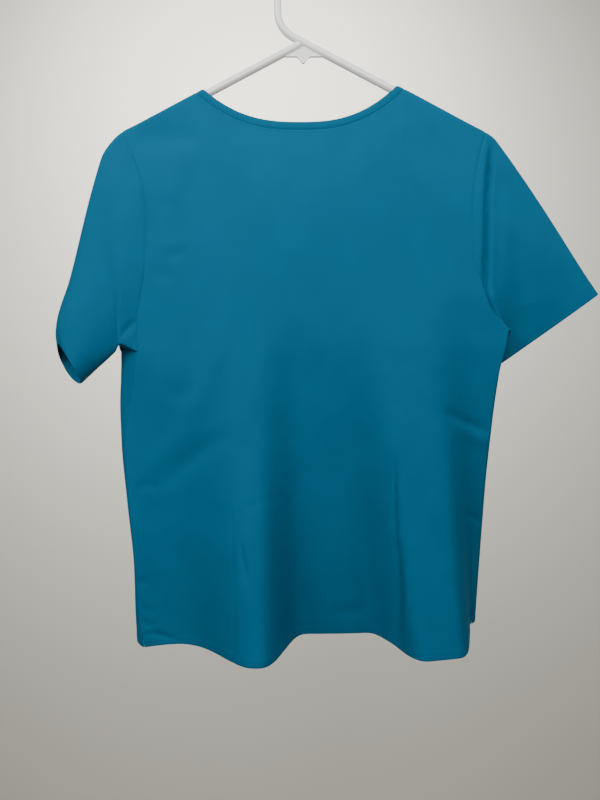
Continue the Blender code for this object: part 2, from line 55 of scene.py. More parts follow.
TUBE_RADIUS = 4.4
TUBE_SIDES = 32
RING_RADIUS = 30.0                  # centre line of the hook
RING_END = -10.0                    # where its free end stops, in degrees from +X towards +Z
TIP_STEPS = 6                       # in the free end's rounding
SWEEP_RADIUS = 34.0                 # from the stem into the right arm
SHOULDER_SLOPE = 0.53               # fall for each millimetre out
TIP_X, TIP_Z = 211.0, -193.0        # the garment's shoulder tips
CLOTH_ROLL = 6.1                    # radius at which the cloth lies over the arms
BEND_RADIUS = 14.0
BEND_X = 191.1                      # centre of the end bends
LEFT_ARM_END = 5.0                  # from the apex, along the arm
TILT = atan(SHOULDER_SLOPE)
WHITE = (0.93, 0.94, 0.93)
WHITE_WORN = (0.88, 0.89, 0.87)


class Wire:
    """An output of a shader node.  Arithmetic on it adds Math nodes."""

    def __init__(self, finish, socket):
        self.finish, self.socket = finish, socket

    def out(self, name):
        return Wire(self.finish, self.socket.node.outputs[name])

    def math(self, operation, first, second=0.0):
        return self.finish.node("Math", {"operation": operation}, {0: first, 1: second})

    def __add__(self, other):
        return self.math("ADD", self, other)

    __radd__ = __add__

    def __mul__(self, other):
        return self.math("MULTIPLY", self, other)

    __rmul__ = __mul__

    def __sub__(self, other):
        return self.math("SUBTRACT", self, other)

    def __rsub__(self, other):
        return self.math("SUBTRACT", other, self)

    def __pow__(self, other):
        return self.math("POWER", self, other)


class Finish:
    """A new material with a Principled shader, and one way to add any node to it."""

    def __init__(self, name, **settings):
        self.material = bpy.data.materials.new(name)
        self.material.use_nodes = True
        self.tree = self.material.node_tree
        self.shader = self.tree.nodes["Principled BSDF"]
        self.set(**settings)

    def set(self, **settings):
        """Fill the shader's sockets, whose names are written with _ for a space."""
        self.fill(self.shader, {name.replace("_", " "): value for name, value in settings.items()})

    def fill(self, node, sockets):
        for key, value in sockets.items():
            if isinstance(value, Wire):
                self.tree.links.new(value.socket, node.inputs[key])
            else:
                node.inputs[key].default_value = value

    def node(self, kind, settings, sockets, output=0):
        made = self.tree.nodes.new(f"ShaderNode{kind}")
        for key, value in settings.items():
            setattr(made, key, value)
        self.fill(made, sockets)
        return Wire(self, made.outputs[output])

    def place(self):
        """Where a point is on the object, in metres."""
        return self.node("TexCoord", {}, {}, "Object")

    def noise(self, at, scale, detail=2.0):
        return self.node("TexNoise", {}, {"Vector": at, "Scale": scale, "Detail": detail})

    def between(self, share, low, high):
        """Colour mixed by a share."""
        return self.node("Mix", {"data_type": "RGBA"}, {0: share, 6: (*low, 1.0), 7: (*high, 1.0)}, 2)

    def range(self, value, low, high, to_low=0.0, to_high=1.0):
        """A value that runs from one range to another, held at its ends."""
        return self.node("MapRange", {}, {"Value": value, "From Min": low, "From Max": high,
                                          "To Min": to_low, "To Max": to_high})

    def bump(self, height, distance, strength=1.0):
        return self.node("Bump", {}, {"Height": height, "Distance": distance, "Strength": strength})


def arm_axis(x):
    """Height of the arms' centre line."""
    return TIP_Z + (TIP_X - abs(x)) * SHOULDER_SLOPE - CLOTH_ROLL / cos(TILT)


def on_circle(centre, radius, angle):
    return centre[0] + radius * cos(radians(angle)), centre[1] + radius * sin(radians(angle))


def bend(centre, angle, steps):
    """Carry the selected loop round a centre, positive from +X towards +Z."""
    bpy.ops.mesh.spin(steps=steps, angle=radians(abs(angle)), center=(centre[0] * MM, 0.0, centre[1] * MM),
                      axis=(0.0, 1.0 if angle > 0 else -1.0, 0.0))


def draw_out(x, z):
    """Extrude the selected loop along a straight run."""
    bpy.ops.mesh.extrude_region_move(TRANSFORM_OT_translate={"value": (x * MM, 0.0, z * MM)})


def white_plastic():
    """Glossy moulded plastic with faint flow marks, and a little dirt where hands have held it."""
    finish = Finish("white_hanger_plastic", Coat_Weight=0.35, Coat_Roughness=0.12, IOR=1.47,
                    Subsurface_Weight=0.06, Subsurface_Scale=0.004)
    place = finish.place()
    broad, fine = finish.noise(place, 22.0, 3.0), finish.noise(place, 420.0, 2.0)
    flow = finish.node("TexNoise", {}, {
        "Vector": finish.node("Mapping", {}, {"Vector": place, "Scale": (60.0, 900.0, 60.0)}),
        "Scale": 1.0, "Detail": 2.0})
    finish.set(Base_Color=finish.between(finish.range(broad, 0.35, 0.75), WHITE, WHITE_WORN),
               Roughness=finish.range(broad + fine * 0.4, 0.4, 1.0, 0.20, 0.36),
               Normal=finish.bump(fine * 0.5 + flow * 0.5, 0.00006, 0.6))
    return finish.material


ring_centre = (0.0, TUBE_RADIUS - RING_RADIUS)
sweep_x = SWEEP_RADIUS - RING_RADIUS
sweep_end_x = sweep_x - SWEEP_RADIUS * sin(TILT)
sweep_z = arm_axis(0.0) - SHOULDER_SLOPE * sweep_end_x + SWEEP_RADIUS * cos(TILT)
bend_z = arm_axis(BEND_X + BEND_RADIUS * sin(TILT)) - BEND_RADIUS * cos(TILT)
arm_run = BEND_X + BEND_RADIUS * sin(TILT) - sweep_end_x
left_run = BEND_X + BEND_RADIUS * sin(TILT) - LEFT_ARM_END * cos(TILT)
tip_x, tip_z = on_circle(ring_centre, RING_RADIUS, RING_END)
back_x, back_z = -sin(radians(RING_END)), cos(radians(RING_END))      # from the tip into the ring

tip_angles = np.radians(np.linspace(80.0, 0.0, TIP_STEPS + 1))
start_x, start_z = (at - into * TUBE_RADIUS * sin(tip_angles[0])
                    for at, into in ((tip_x, back_x), (tip_z, back_z)))
bpy.ops.mesh.primitive_circle_add(vertices=TUBE_SIDES, radius=TUBE_RADIUS * cos(tip_angles[0]) * MM,
                                  location=(start_x * MM, 0.0, start_z * MM))
hanger = bpy.context.object
hanger.name = "hanger"
bpy.ops.object.transform_apply(location=True, rotation=True)
bpy.ops.object.mode_set(mode="EDIT")
bpy.ops.transform.rotate(value=radians(RING_END), orient_axis="Y",
                         center_override=(start_x * MM, 0.0, start_z * MM))
for before, after in zip(tip_angles, tip_angles[1:]):
    step = TUBE_RADIUS * (sin(before) - sin(after))
    draw_out(back_x * step, back_z * step)
    start_x, start_z = start_x + back_x * step, start_z + back_z * step
    bpy.ops.transform.resize(value=(cos(after) / cos(before),) * 3,
                             center_override=(start_x * MM, 0.0, start_z * MM))
bend(ring_centre, 180.0 - RING_END, 48)
draw_out(0.0, sweep_z - ring_centre[1])
bend((sweep_x, sweep_z), 90.0 - degrees(TILT), 16)
draw_out(arm_run, -arm_run * SHOULDER_SLOPE)
bend((BEND_X, bend_z), degrees(TILT) - 180.0, 28)
draw_out(-2 * BEND_X, 0.0)
bend((-BEND_X, bend_z), degrees(TILT) - 180.0, 28)
draw_out(left_run, left_run * SHOULDER_SLOPE)
bpy.ops.mesh.select_all(action="SELECT")
bpy.ops.mesh.remove_doubles(threshold=0.00001)
bpy.ops.mesh.fill_holes(sides=0)
bpy.ops.mesh.normals_make_consistent(inside=False)
bpy.ops.object.mode_set(mode="OBJECT")
bpy.ops.object.shade_smooth_by_angle(angle=radians(40.0))
hanger.data.materials.append(white_plastic())
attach(hanger, "root")
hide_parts("hanger_hook", "hanger_arm_left", "hanger_arm_right", "hanger_bar")


# ================================================================ THE HANGER'S WEB
# A flat web moulded in the corner under the apex, with a rounded tab in its middle.  The mould's pin
# leaves a small round dimple there.

WEB_THICKNESS = 3.0
WEB_DROP = 11.6                     # from the underside of the apex to the web's straight edge
WEB_COLUMNS = 64
TAB_DROP = 7.6
TAB_HALF_WIDTH = 9.5
TAB_POWER = 1.25                    # above 1 the tab is slimmer than a plain wave
DIMPLE_RADIUS = 0.9
WEB_TRIM = 2.0                      # cut off its sharp ends, inside the arms

web_top = arm_axis(0.0) - (TUBE_RADIUS - 0.8) / cos(TILT)
web_edge = arm_axis(0.0) - TUBE_RADIUS / cos(TILT) - WEB_DROP
web_reach = (web_top - web_edge) / SHOULDER_SLOPE - WEB_TRIM

bpy.ops.object.select_all(action="DESELECT")
bpy.ops.mesh.primitive_grid_add(x_subdivisions=WEB_COLUMNS, y_subdivisions=6, size=2.0,
                                rotation=(pi / 2, 0.0, 0.0))
web = bpy.context.object
web.name = "hanger_web"
bpy.ops.object.transform_apply(rotation=True)
for vertex in web.data.vertices:
    x = vertex.co.x * web_reach
    height = (vertex.co.z + 1.0) / 2.0
    wave = (1 + cos(pi * min(1.0, abs(x) / TAB_HALF_WIDTH))) / 2
    low = web_edge - TAB_DROP * wave ** TAB_POWER
    vertex.co = (x * MM, 0.0, (low + (web_top - SHOULDER_SLOPE * abs(x) - low) * height) * MM)
wall = web.modifiers.new("thickness", "SOLIDIFY")
wall.thickness, wall.offset = WEB_THICKNESS * MM, 0.0
edges = web.modifiers.new("softened", "BEVEL")
edges.width, edges.segments, edges.angle_limit = 0.6 * MM, 3, radians(50.0)
for modifier in (wall, edges):
    bpy.ops.object.modifier_apply(modifier=modifier.name)
bpy.ops.object.mode_set(mode="EDIT")
bpy.ops.mesh.select_all(action="SELECT")
bpy.ops.mesh.remove_doubles(threshold=0.00001)
bpy.ops.mesh.normals_make_consistent(inside=False)
bpy.ops.object.mode_set(mode="OBJECT")
bpy.ops.mesh.primitive_uv_sphere_add(segments=24, ring_count=12, radius=DIMPLE_RADIUS * MM,
                                     location=(0.0, -WEB_THICKNESS / 2 * MM, (web_edge - 0.6) * MM))
pin = bpy.context.object
bpy.ops.object.select_all(action="DESELECT")
web.select_set(True)
bpy.context.view_layer.objects.active = web
dent = web.modifiers.new("dimple", "BOOLEAN")
dent.operation, dent.object = "DIFFERENCE", pin
bpy.ops.object.modifier_apply(modifier="dimple")
bpy.data.objects.remove(pin)
bpy.ops.object.shade_smooth_by_angle(angle=radians(35.0))
web.data.materials.append(hanger.data.materials[0])
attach(web, "root")
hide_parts("hanger_plate")


# ================================================================ THE BACK PANEL
# Cut whole from a matte stretch twill, hung from the shoulder seams so that it falls in two long
# folds to the hem.  The hem is turned up once and stitched, and the side seams end in short vents.

CLOTH_WALL = 0.8                    # what shows of the cloth's thickness
HEM_Z = -772.0
VENT_LEVEL = 0.09                   # top of the side vents, as a share of the side seam
VENT_INSET = {"back left": 2.0, "front left": -1.2,         # how far each edge draws back at the hem
              "back right": 0.4, "front right": 0.4}
NECK_CENTRE_X = -4.0
NECK_SEAM_HALF = 122.0              # neck seam, half of its width at the shoulder line
NECK_EDGE_HALF = 113.5              # inner edge of the neckband
BACK_NECK = {"seam_z": -192.3, "edge_z": -183.0, "power": 2.6}
SHOULDER_COLUMNS = 44
NECK_COLUMNS = 116
SIDE_ROWS = 96
ARM_ROWS = 104
SECTION_POINTS = 1600               # along a section, before it is cut into columns
BOW_POWER = 2.0                     # a panel bows evenly from edge to edge
HEM_DEPTH = 11.5                    # from the hem's edge up to its stitches
TUCK_DEPTH, TUCK_WIDTH = 0.55, 1.3   # how far a seam draws the cloth in
STITCH_PITCH, STITCH_LENGTH, STITCH_RADIUS = 3.0, 2.2, 0.15
NECK_STITCH = 2.4                   # from the neck seam
VENT_STITCH = 6.0                   # from a vent's edge
TEAL_DEEP = (0.0010, 0.094, 0.185)
TEAL_PALE = (0.0014, 0.108, 0.212)


def table(columns, *rows):
    """Columns of numbers by name, one row for each station."""
    values = np.array(rows, dtype=float)
    return {name: values[:, k] for k, name in enumerate(columns.split())}


# Side seams, level 0 at the hem to level 1 at the underarm.
SIDE_SEAMS = {
    "left": table(
        "level x y z",
        (0.00, -176.0, -44.0, -775.0),
        (0.09, -180.5, -41.0, -744.0),
        (0.25, -185.0, -38.0, -692.0),
        (0.47, -194.0, -30.0, -621.0),
        (0.67, -201.0, -24.0, -556.0),
        (0.85, -193.5, -22.0, -499.0),
        (1.00, -187.0, -22.0, -450.0)),
    "right": table(
        "level x y z",
        (0.00, 201.5, 18.0, HEM_Z),
        (0.25, 205.5, 8.0, -685.0),
        (0.47, 208.5, -3.0, -608.0),
        (0.67, 214.5, -10.0, -539.0),
        (0.85, 223.0, -13.0, -476.0),
        (0.94, 231.0, -13.0, -446.0),
        (1.00, 236.0, -12.0, -424.0)),
}

# Armhole edges, level 1 at the underarm to level 2 at the shoulder tip.
ARMHOLES = {
    "back left": table(
        "level x y z",
        (1.00, -187.0, -22.0, -450.0),
        (1.12, -188.5, -20.0, -420.0),
        (1.38, -180.5, -18.0, -352.0),
        (1.54, -180.0, -15.0, -311.0),
        (1.72, -185.0, -12.0, -264.0),
        (1.87, -197.0, -8.0, -226.0),
        (2.00, -TIP_X, -CLOTH_ROLL, TIP_Z)),
    "back right": table(
        "level x y z",
        (1.00, 236.0, -12.0, -424.0),
        (1.12, 217.0, -14.0, -404.0),
        (1.24, 206.0, -15.0, -379.0),
        (1.40, 195.0, -15.0, -341.0),
        (1.56, 193.5, -14.0, -303.0),
        (1.72, 195.5, -12.0, -264.0),
        (1.87, 202.0, -8.0, -227.0),
        (2.00, TIP_X, -CLOTH_ROLL, TIP_Z)),
    "front left": table(
        "level x y z",
        (1.00, -187.0, -22.0, -450.0),
        (1.06, -203.0, -9.0, -447.0),
        (1.13, -211.5, 4.0, -439.0),
        (1.22, -210.0, 9.0, -420.0),
        (1.36, -201.0, 11.0, -386.0),
        (1.60, -188.0, 11.0, -322.0),
        (1.87, -198.0, 8.0, -228.0),
        (2.00, -TIP_X, CLOTH_ROLL, TIP_Z)),
    "front right": table(
        "level x y z",
        (1.00, 236.0, -12.0, -424.0),
        (1.06, 233.0, -2.5, -422.5),
        (1.13, 227.0, 7.0, -411.0),
        (1.25, 214.0, 10.0, -386.0),
        (1.45, 201.0, 11.0, -333.0),
        (1.72, 198.0, 10.0, -266.0),
        (1.87, 203.0, 8.0, -228.0),
        (2.00, TIP_X, CLOTH_ROLL, TIP_Z)),
}

# Depth of each panel's middle, and how far out the front panel reaches past the side seams.
BODY = table(
    "level back_mid front_mid out_left out_left_y out_right out_right_y",
    (0.00, -10.0, 5.0, -187.0, -15.0, 204.5, 28.0),
    (0.25, -12.0, 6.0, -188.0, -12.0, 208.5, 21.0),
    (0.47, -14.0, 8.0, -197.5, -8.0, 211.0, 14.0),
    (0.67, -17.0, 9.0, -207.0, -3.0, 216.5, 8.0),
    (0.85, -20.0, 10.0, -213.5, 2.0, 219.5, 0.0),
    (1.00, -22.0, 10.0, -213.5, 4.0, 222.0, -3.0),
    (1.06, -22.0, 10.0, -213.5, 4.0, 222.0, 3.0),
    (1.70, -15.0, 9.0, -213.5, 4.0, 222.0, 3.0),
    (2.00, -CLOTH_ROLL, CLOTH_ROLL, -213.5, 4.0, 222.0, 3.0))

# Lengthwise folds.  Each stands out by `depth` at the hem and dies away at `top_z`; it has a
# crest of half-width `crest` and flanks `left` and `right` wide, steeper where `power` is low.
FOLDS = {
    "back": table(
        "hem_x top_x crest left left_power right right_power depth top_z",
        (-44.0, -68.0, 5.0, 118.0, 3.3, 37.0, 2.0, 85.0, -325.0),
        (144.5, 112.0, 21.5, 46.0, 2.0, 38.5, 2.0, 86.0, -325.0)),
    "front": table(
        "hem_x top_x crest left left_power right right_power depth top_z",
        (-105.0, -95.0, 15.0, 55.0, 2.0, 70.0, 2.0, 48.0, -400.0),
        (130.0, 120.0, 15.0, 55.0, 2.0, 60.0, 2.0, 42.0, -400.0)),
}
FOLD_GROWTH = 1.7                   # how slowly a fold starts below its top
FOLD_TOP_SPREAD = 1.5               # how much wider the flanks are at a fold's top
FOLD_SHIFTS = (-7.0, -3.5, 0.0, 3.5, 7.0)       # a fold is the mean of itself moved by these
FOLD_FADE = {"back": 12.0, "front": 30.0}       # width at a panel's side edges with no fold

# Small creases: from one point to another, bent sideways, raised where depth is positive.  A low
# power makes a crease sharp.
BACK_CREASES = table(
    "x0 z0 x1 z1 bend width power depth",
    # left side, from the chest down
    (-81, -335, -173, -586, -27, 14, 2.0, 2.5),
    (-84, -540, -160, -606, 4, 9, 2.0, -2.1),
    (-100, -528, -172, -588, 6, 11, 2.0, 0.9),
    (-188, -602, -162, -606, -3, 5, 2.0, -1.2),
    (-156, -498, -116, -488, 4, 12, 2.0, -1.3),
    # under the shoulders
    (-204, -205, -118, -206, -4, 15, 2.0, -2.2),
    (-130, -208, -156, -280, 0, 14, 2.0, 2.0),
    (-156, -334, -132, -336, 3, 8, 2.0, -1.3),
    (-168, -322, -130, -328, 5, 10, 2.0, 0.9),
    (-174, -361, -146, -364, 0, 9, 2.0, -1.0),
    (112, -190, 163, -280, 0, 14, 2.0, -1.2),
    # middle of the hem
    (30, -748, 76, -750, 0, 8, 2.0, -1.5),
    # the sharp crease beside the right fold
    (100, -572, 99, -674, 0, 2.0, 1.4, -3.4),
    (100, -655, 99, -776, 0, 5.5, 1.6, -6.0),
    (107, -600, 108, -700, 0, 6, 2.0, 0.8),
    (109, -680, 110, -778, 0, 4, 1.6, 1.5),
    # beside the left fold
    (-78, -613, -73, -718, 0, 1.6, 1.4, -0.7),
    (-73, -700, -72, -790, 0, 1.6, 1.4, -0.9),
    (-67, -655, -59, -695, 0, 2.2, 1.4, -2.2),
    (-66, -622, -38, -611, 0, 4, 2.0, -0.7),
    (-38, -612, -22, -614, 0, 4, 2.0, -0.6),
    # left edge, down to the vent
    (-186, -705, -172, -706, 0, 4, 2.0, -1.3),
    (-180, -732, -164, -741, 0, 2.5, 2.0, -1.4),
    (-184, -745, -164, -756, 0, 2.5, 2.0, -1.6),
    (-172, -759, -142, -771, 0, 3, 2.0, -1.7),
    (-172, -764, -140, -776, 0, 3, 2.0, 0.5),
    # right edge
    (155, -516, 216, -545, 0, 5, 2.0, -3.0),
    (165, -532, 216, -555, 0, 8, 2.0, 2.0),
    (182, -632, 210, -650, 0, 3, 2.0, -2.0))


def smooth(xs, ys, at):
    """Cubic through the stations that never overshoots them."""
    step = np.diff(xs)
    slope = np.diff(ys) / step
    tangent = np.zeros(len(xs))
    tangent[0], tangent[-1] = slope[0], slope[-1]
    for k in range(1, len(xs) - 1):
        if slope[k - 1] * slope[k] > 0.0:
            before, after = 2 * step[k] + step[k - 1], step[k] + 2 * step[k - 1]
            tangent[k] = (before + after) / (before / slope[k - 1] + after / slope[k])
    at = np.clip(at, xs[0], xs[-1])
    k = np.clip(np.searchsorted(xs, at, side="right") - 1, 0, len(step) - 1)
    t = (at - xs[k]) / step[k]
    return ((1 + 2 * t) * (1 - t) ** 2 * ys[k] + t * (1 - t) ** 2 * step[k] * tangent[k]
            + t * t * (3 - 2 * t) * ys[k + 1] + t * t * (t - 1) * step[k] * tangent[k + 1])


def read(stations, names, at):
    """Named columns of a table at one value of its first column."""
    first = next(iter(stations.values()))
    return np.array([float(smooth(first, stations[name], at)) for name in names.split()])


def spaced(start, end, count, *crowded):
    """Values from start to end, set closer round each (place, reach, times closer)."""
    fine = np.linspace(start, end, 4001)
    density = np.ones_like(fine)
    for place, reach, closer in crowded:
        density += (closer - 1.0) * np.exp(-((fine - place) / reach) ** 2)
    total = np.concatenate([[0.0], np.cumsum((density[1:] + density[:-1]) / 2)])
    return np.interp(np.linspace(0.0, total[-1], count + 1), total, fine)


def shoulder_line(x):
    """Height of the shoulder seams, and of their line carried on over the neck."""
    return TIP_Z + (TIP_X - np.abs(x)) * SHOULDER_SLOPE


def roll(below):
    """How far out of the middle plane the cloth is, a drop `below` the shoulder line."""
    inside = np.clip(1.0 - below * cos(TILT) / CLOTH_ROLL, 0.0, 1.0)
    return CLOTH_ROLL * np.sqrt(1.0 - inside * inside)


def flank(distance, width, power):
    """Falls from 1 to 0 over a width, with no corner at either end."""
    t = np.clip(distance / width, 0.0, 1.0)
    return (1.0 - t) ** power * (1.0 + power * t)


def fold_depth(panel, x, left, right):
    """How far the lengthwise folds stand out at x, on a section from one edge point to the other."""
    z = left[2] + (right[2] - left[2]) * (x - left[0]) / (right[0] - left[0])
    fade = (np.minimum(x - left[0], right[0] - x) / FOLD_FADE[panel]).clip(0.0, 1.0)
    total = np.zeros_like(x)
    folds = FOLDS[panel]
    for k in range(len(folds["hem_x"])):
        fold = {name: column[k] for name, column in folds.items()}
        down = ((fold["top_z"] - z) / (fold["top_z"] - HEM_Z)).clip(0.0, 1.0)
        centre = fold["top_x"] + (fold["hem_x"] - fold["top_x"]) * down
        spread = FOLD_TOP_SPREAD + (1.0 - FOLD_TOP_SPREAD) * down
        for shift in FOLD_SHIFTS:
            out = x - centre - shift
            left_side = flank(-out - fold["crest"], fold["left"] * spread, fold["left_power"])
            right_side = flank(out - fold["crest"], fold["right"] * spread, fold["right_power"])
            share = fold["depth"] * down ** FOLD_GROWTH / len(FOLD_SHIFTS)
            total += share * np.minimum(left_side, right_side)
    return total * fade


def edge_point(panel, side, level):
    """Point of a panel's side edge: the side seam, then the armhole."""
    if level > 1.0:
        return read(ARMHOLES[f"{panel} {side}"], "x y z", level)
    point = read(SIDE_SEAMS[side], "x y z", level)
    opened = VENT_INSET[f"{panel} {side}"] * max(0.0, 1.0 - level / VENT_LEVEL)
    inward = 1.0 if side == "left" else -1.0
    point[0] += opened * (inward if panel == "back" else -inward)
    return point


def bowed(x, left, right, middle_y, power):
    """Depth of a panel that leaves both edges and bows to its middle."""
    t = 2.0 * (x - left[0]) / (right[0] - left[0]) - 1.0
    edge = np.where(t < 0.0, left[1], right[1])
    return middle_y + (edge - middle_y) * np.abs(t) ** power


def back_section(level):
    """The back panel's section at one level, as many x and y pairs."""
    left, right = edge_point("back", "left", level), edge_point("back", "right", level)
    x = np.linspace(left[0], right[0], SECTION_POINTS)
    y = bowed(x, left, right, read(BODY, "back_mid", level)[0], BOW_POWER)
    return x, y - fold_depth("back", x, left, right)


def neck_curve(neck, which, share):
    """Neck seam or neckband edge at shares from -1, left shoulder, to 1, right shoulder."""
    half = NECK_SEAM_HALF if which == "seam" else NECK_EDGE_HALF
    corner = shoulder_line(NECK_CENTRE_X + np.where(share > 0, half, -half))
    middle = neck[f"{which}_z"]
    return NECK_CENTRE_X + half * share, middle + (corner - middle) * np.abs(share) ** neck["power"]


side_levels = spaced(0.0, 1.0, SIDE_ROWS, (0.033, 0.022, 3.2), (1.0, 0.02, 2.0))
arm_levels = spaced(1.0, 2.0, ARM_ROWS, (1.0, 0.03, 3.0), (2.0, 0.012, 14.0))[1:]
levels = np.concatenate([side_levels, arm_levels])
shoulder_steps = spaced(0.0, 1.0, SHOULDER_COLUMNS, (0.0, 0.04, 3.0))
neck_shares = spaced(-1.0, 1.0, NECK_COLUMNS, (-1.0, 0.06, 4.0), (1.0, 0.06, 4.0))
even_shares = spaced(0.0, 1.0, 2 * SHOULDER_COLUMNS + NECK_COLUMNS,
                     (0.0, 0.010, 3.0), (1.0, 0.010, 3.0), (0.27, 0.03, 1.7), (0.71, 0.05, 1.9))


def top_points(neck):
    """The panel's top edge: shoulder seam, neck seam, shoulder seam, as x and z pairs."""
    corners = (NECK_CENTRE_X - NECK_SEAM_HALF, NECK_CENTRE_X + NECK_SEAM_HALF)
    left = -TIP_X + (corners[0] + TIP_X) * shoulder_steps
    right = TIP_X - (TIP_X - corners[1]) * shoulder_steps[::-1]
    x, z = neck_curve(neck, "seam", neck_shares)
    return np.vstack([np.column_stack([left, shoulder_line(left)])[:-1],
                      np.column_stack([x, z]),
                      np.column_stack([right, shoulder_line(right)])[1:]])


def panel_grid(panel, section, neck, outward):
    """A body panel's skin, rows from the hem up and columns from left to right."""
    top = top_points(neck)
    top_share = (top[:, 0] + TIP_X) / (2 * TIP_X)
    rows = []
    for level in levels:
        near_top = 1.0 - flank(level - 1.0, 1.0, 2.0)
        share = even_shares + (top_share - even_shares) * near_top
        x, y = section(level)
        length = np.concatenate([[0.0], np.cumsum(np.hypot(np.diff(x), np.diff(y)))])
        row_x, row_y = (np.interp(share * length[-1], length, values) for values in (x, y))
        left_z, right_z = (edge_point(panel, side, level)[2] for side in ("left", "right"))
        climb = max(0.0, level - 1.0) ** 1.5
        row_z = left_z + (right_z - left_z) * share + (top[:, 1] - TIP_Z) * climb
        row_y -= outward * (CLOTH_ROLL - roll(shoulder_line(row_x) - row_z))
        rows.append(np.column_stack([row_x, row_y, row_z]))
    return np.array(rows)


def walked(grid, axis):
    """Distance walked along a grid's columns (axis 0) or rows (axis 1) from its first line."""
    steps = np.linalg.norm(np.diff(grid, axis=axis), axis=2)
    start = np.zeros_like(np.take(steps, [0], axis=axis))
    return np.cumsum(np.concatenate([start, steps], axis=axis), axis=axis)


def facing(grid, closed, flip):
    """Outward direction at every point of a grid."""
    across = np.roll(grid, -1, axis=1) - np.roll(grid, 1, axis=1)
    if not closed:
        across[:, 0], across[:, -1] = grid[:, 1] - grid[:, 0], grid[:, -1] - grid[:, -2]
    normal = np.cross(across, np.gradient(grid, axis=0)) * (-1.0 if flip else 1.0)
    return normal / np.linalg.norm(normal, axis=2)[..., None]


def creased(x, z, creases):
    """How far small creases raise the cloth."""
    total = np.zeros_like(x)
    for k in range(len(creases["x0"])):
        crease = {name: column[k] for name, column in creases.items()}
        run_x, run_z = crease["x1"] - crease["x0"], crease["z1"] - crease["z0"]
        length = np.hypot(run_x, run_z)
        along = ((x - crease["x0"]) * run_x + (z - crease["z0"]) * run_z) / length ** 2
        arch = np.clip(4 * along * (1 - along), 0.0, 1.0)
        across = ((x - crease["x0"]) * run_z - (z - crease["z0"]) * run_x) / length
        across = np.abs(across - crease["bend"] * arch) / crease["width"]
        total += crease["depth"] * arch ** 0.8 * np.exp(-across ** crease["power"])
    return total


def uneven(x, z, start):
    """Soft unevenness that a hung cloth always has."""
    return (0.32 * np.sin(x / 31 + 1.3 * np.sin(z / 57 + start) + start) * np.sin(z / 43 + 1.7 * start)
            + 0.16 * np.sin((x + 0.6 * z) / 19 + 2.0 * np.sin(z / 71) + 3 * start))


def settled(distance):
    """How far a seam lets the cloth rise beside it, from 0 at the seam to 1."""
    return 1.0 - np.exp(-(distance / TUCK_WIDTH) ** 2)


def hemmed(distance, depth, along, start):
    """A turned hem: doubled below its stitches, drawn in and slightly puckered along them."""
    off = distance - depth
    pucker = np.sin(along / 1.35 + 2.2 * np.sin(along / 23 + start)) * np.exp(-(off / 3.5) ** 2)
    return (0.18 / (1.0 + np.exp(np.minimum(off, 60.0) / 0.6)) - 0.20 * np.exp(-(off / 1.0) ** 2)
            + 0.07 * pucker - 0.3 * np.exp(-(distance / 0.8) ** 2))


def added(name, mesh):
    """The mesh's new object, linked, selected and active."""
    made = bpy.data.objects.new(name, mesh)
    bpy.context.scene.collection.objects.link(made)
    bpy.ops.object.select_all(action="DESELECT")
    made.select_set(True)
    bpy.context.view_layer.objects.active = made
    return made


def make_cloth(name, grid, height, closed, flip, wall, material):
    """A cut piece: its skin raised by a height, with a map in metres on it, and a wall inwards.

    Gives the object, the skin's points and their outward directions.
    """
    out = facing(grid, closed, flip)
    skin = grid + out * height[..., None]
    looped = np.concatenate([grid, grid[:, :1]], axis=1) if closed else grid
    u, v = walked(looped, 1) * MM, walked(looped, 0) * MM
    rows, columns = grid.shape[:2]
    faces, corners = [], []
    for r in range(rows - 1):
        for c in range(looped.shape[1] - 1):
            cell = [(r, c), (r, c + 1), (r + 1, c + 1), (r + 1, c)]
            if flip:
                cell.reverse()
            faces.append([row * columns + column % columns for row, column in cell])
            corners += [(u[at], v[at]) for at in cell]
    mesh = bpy.data.meshes.new(name)
    mesh.from_pydata((skin.reshape(-1, 3) * MM).tolist(), [], faces)
    mesh.uv_layers.new(name="cloth").data.foreach_set("uv", np.array(corners).ravel())
    mesh.materials.append(material)
    made = added(name, mesh)
    thickness = made.modifiers.new("wall", "SOLIDIFY")
    thickness.thickness, thickness.offset = wall * MM, -1.0
    bpy.ops.object.modifier_apply(modifier="wall")
    bpy.ops.object.shade_smooth_by_angle(angle=radians(55.0))
    return made, skin, out


def line_at(skin, out, distance):
    """Points and outward directions of a skin, one distance from its first line, column by column."""
    walk = walked(skin, 0)
    return [np.array([[np.interp(distance, walk[:, c], field[:, c, k]) for k in range(3)]
                      for c in range(skin.shape[1])]) for field in (skin, out)]


